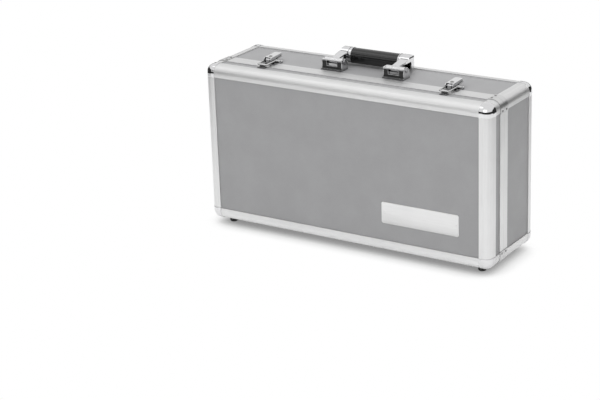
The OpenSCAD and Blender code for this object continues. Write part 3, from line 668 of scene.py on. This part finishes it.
def add_camera():
    yaw, pitch, roll = (math.radians(a) for a in (-33.339, 20.129, -2.055))
    ahead = Vector((math.sin(yaw) * math.cos(pitch), math.cos(yaw) * math.cos(pitch), -math.sin(pitch)))
    level = Vector((math.cos(yaw), -math.sin(yaw), 0))
    upright = level.cross(ahead)
    right = level * math.cos(roll) + upright * math.sin(roll)
    up = upright * math.cos(roll) - level * math.sin(roll)
    data = bpy.data.cameras.new("camera")
    data.sensor_width, data.lens = 36, 108.87
    data.clip_end = 60
    camera = bpy.data.objects.new("camera", data)
    turn = Matrix((right, up, -ahead)).transposed().to_4x4()
    camera.matrix_world = Matrix.Translation((1.4011, -2.3265, 1.0575)) @ turn
    bpy.context.scene.collection.objects.link(camera)
    bpy.context.scene.camera = camera


add_camera()


# ---------------------------------------------------------------- studio


def seen_directly(tree):
    """1 for what the camera, a polished surface or glass sees, 0 for the light that falls on the object."""
    path = put(tree, "LightPath").outputs
    seen = calc(tree, "MAXIMUM", path["Is Camera Ray"], path["Is Glossy Ray"])
    return calc(tree, "MAXIMUM", seen, path["Is Transmission Ray"])


def add_world():
    world = bpy.data.worlds.new("studio")
    bpy.context.scene.world = world
    world.use_nodes = True
    tree = world.node_tree
    upwards = put(tree, "SeparateXYZ", Vector=put(tree, "TexCoord").outputs["Generated"]).outputs["Z"]
    from_above = calc(tree, "MULTIPLY", calc(tree, "GREATER_THAN", upwards, 0.0), 0.56)
    light = calc(tree, "MAXIMUM", from_above, seen_directly(tree))
    background = tree.nodes["Background"]
    background.inputs["Color"].default_value = (1, 1, 1, 1)
    tree.links.new(light, background.inputs["Strength"])


def add_floor():
    """White paper that shades softly under the case. A lid that swings below it stays in view."""
    mesh = bmesh.new()
    bmesh.ops.create_grid(mesh, x_segments=1, y_segments=1, size=9)
    data = bpy.data.meshes.new("floor")
    mesh.to_mesh(data)
    mesh.free()
    floor = bpy.data.objects.new("floor", data)
    bpy.context.scene.collection.objects.link(floor)
    material, tree, surface = new_finish("white paper sweep", Roughness=0.7, Specular_IOR_Level=0.2)
    place = put(tree, "TexCoord").outputs["Object"]
    fibre = put(tree, "TexNoise", Vector=place, Scale=400.0, Detail=3.0).outputs[0]
    paper = blend_colours(tree, fibre, grey(0.93), grey(0.95))
    tree.links.new(paper, surface.inputs["Base Color"])
    tree.links.new(paper, surface.inputs["Emission Color"])
    glow = calc(tree, "MULTIPLY", seen_directly(tree), 0.15)
    tree.links.new(glow, surface.inputs["Emission Strength"])
    path = put(tree, "LightPath").outputs
    openness = put(tree, "AmbientOcclusion", {"samples": 12}, Distance=0.05).outputs["AO"]
    shade = spread(tree, openness, 0.1, 0.72, 0.25, 1.0)
    veil = put(tree, "BsdfTransparent", Color=blend_colours(tree, shade, grey(0.0), grey(1.0))).outputs[0]
    through = calc(tree, "MAXIMUM", path["Is Camera Ray"], path["Is Shadow Ray"])
    clear = put(tree, "BsdfTransparent").outputs[0]
    seen = put(tree, "MixShader", i0=path["Is Shadow Ray"], i1=veil, i2=clear).outputs[0]
    both = put(tree, "MixShader", i0=through, i1=surface.outputs[0], i2=seen).outputs[0]
    tree.links.new(both, tree.nodes["Material Output"].inputs["Surface"])
    data.materials.append(material)


def add_lamp(name, at, aim, size, power, mirrored=True):
    """A softbox. Where mirrored is false it lights the case and no metal shows it."""
    data = bpy.data.lights.new(name, "AREA")
    data.shape, data.size, data.size_y = "RECTANGLE", size[0], size[1]
    data.energy = power
    lamp = bpy.data.objects.new(name, data)
    direction = Vector(aim) - Vector(at)
    lamp.matrix_world = Matrix.Translation(at) @ direction.to_track_quat("-Z", "Y").to_matrix().to_4x4()
    lamp.visible_camera = False
    lamp.visible_glossy = mirrored
    bpy.context.scene.collection.objects.link(lamp)


def add_dark_curtain(name, radius, top, start, end):
    """A black curtain round the case, which only reflections show.

    It hangs from one bearing to another, in degrees from the lid's front towards +X."""
    steps = 48
    bearings = [math.radians(start + (end - start) * i / steps) for i in range(steps + 1)]
    mesh = bmesh.new()
    hem, rail = (
        [mesh.verts.new((radius * math.sin(a), -radius * math.cos(a), z)) for a in bearings] for z in (0, top)
    )
    for i in range(steps):
        mesh.faces.new((hem[i], hem[i + 1], rail[i + 1], rail[i]))
    data = bpy.data.meshes.new(name)
    mesh.to_mesh(data)
    mesh.free()
    curtain = bpy.data.objects.new(name, data)
    curtain.visible_camera = curtain.visible_diffuse = False
    curtain.visible_transmission = curtain.visible_shadow = False
    bpy.context.scene.collection.objects.link(curtain)
    cloth = new_finish(name + " cloth", Roughness=0.9, Base_Color=grey(0.02))[0]
    data.materials.append(cloth)


add_world()
add_floor()
add_lamp("overhead softbox", (0.0, -0.3, 2.2), (0, 0, 0.2), (3.4, 3.0), 42, mirrored=False)
add_lamp("front softbox", (0.8, -2.6, 1.5), (0, 0, 0.13), (2.4, 1.8), 12.5)
add_lamp("edge light", (-0.95, -0.6, 2.0), (0, 0, 0.27), (1.3, 0.5), 1.6)
add_dark_curtain("dark end of the room", 2.4, 0.66, -180, 180)
add_dark_curtain("dark screen in front", 1.15, 0.72, -95, -44)
add_dark_curtain("dark screen behind", 1.2, 0.6, 104, 146)

bpy.context.scene.view_settings.view_transform = "Standard"
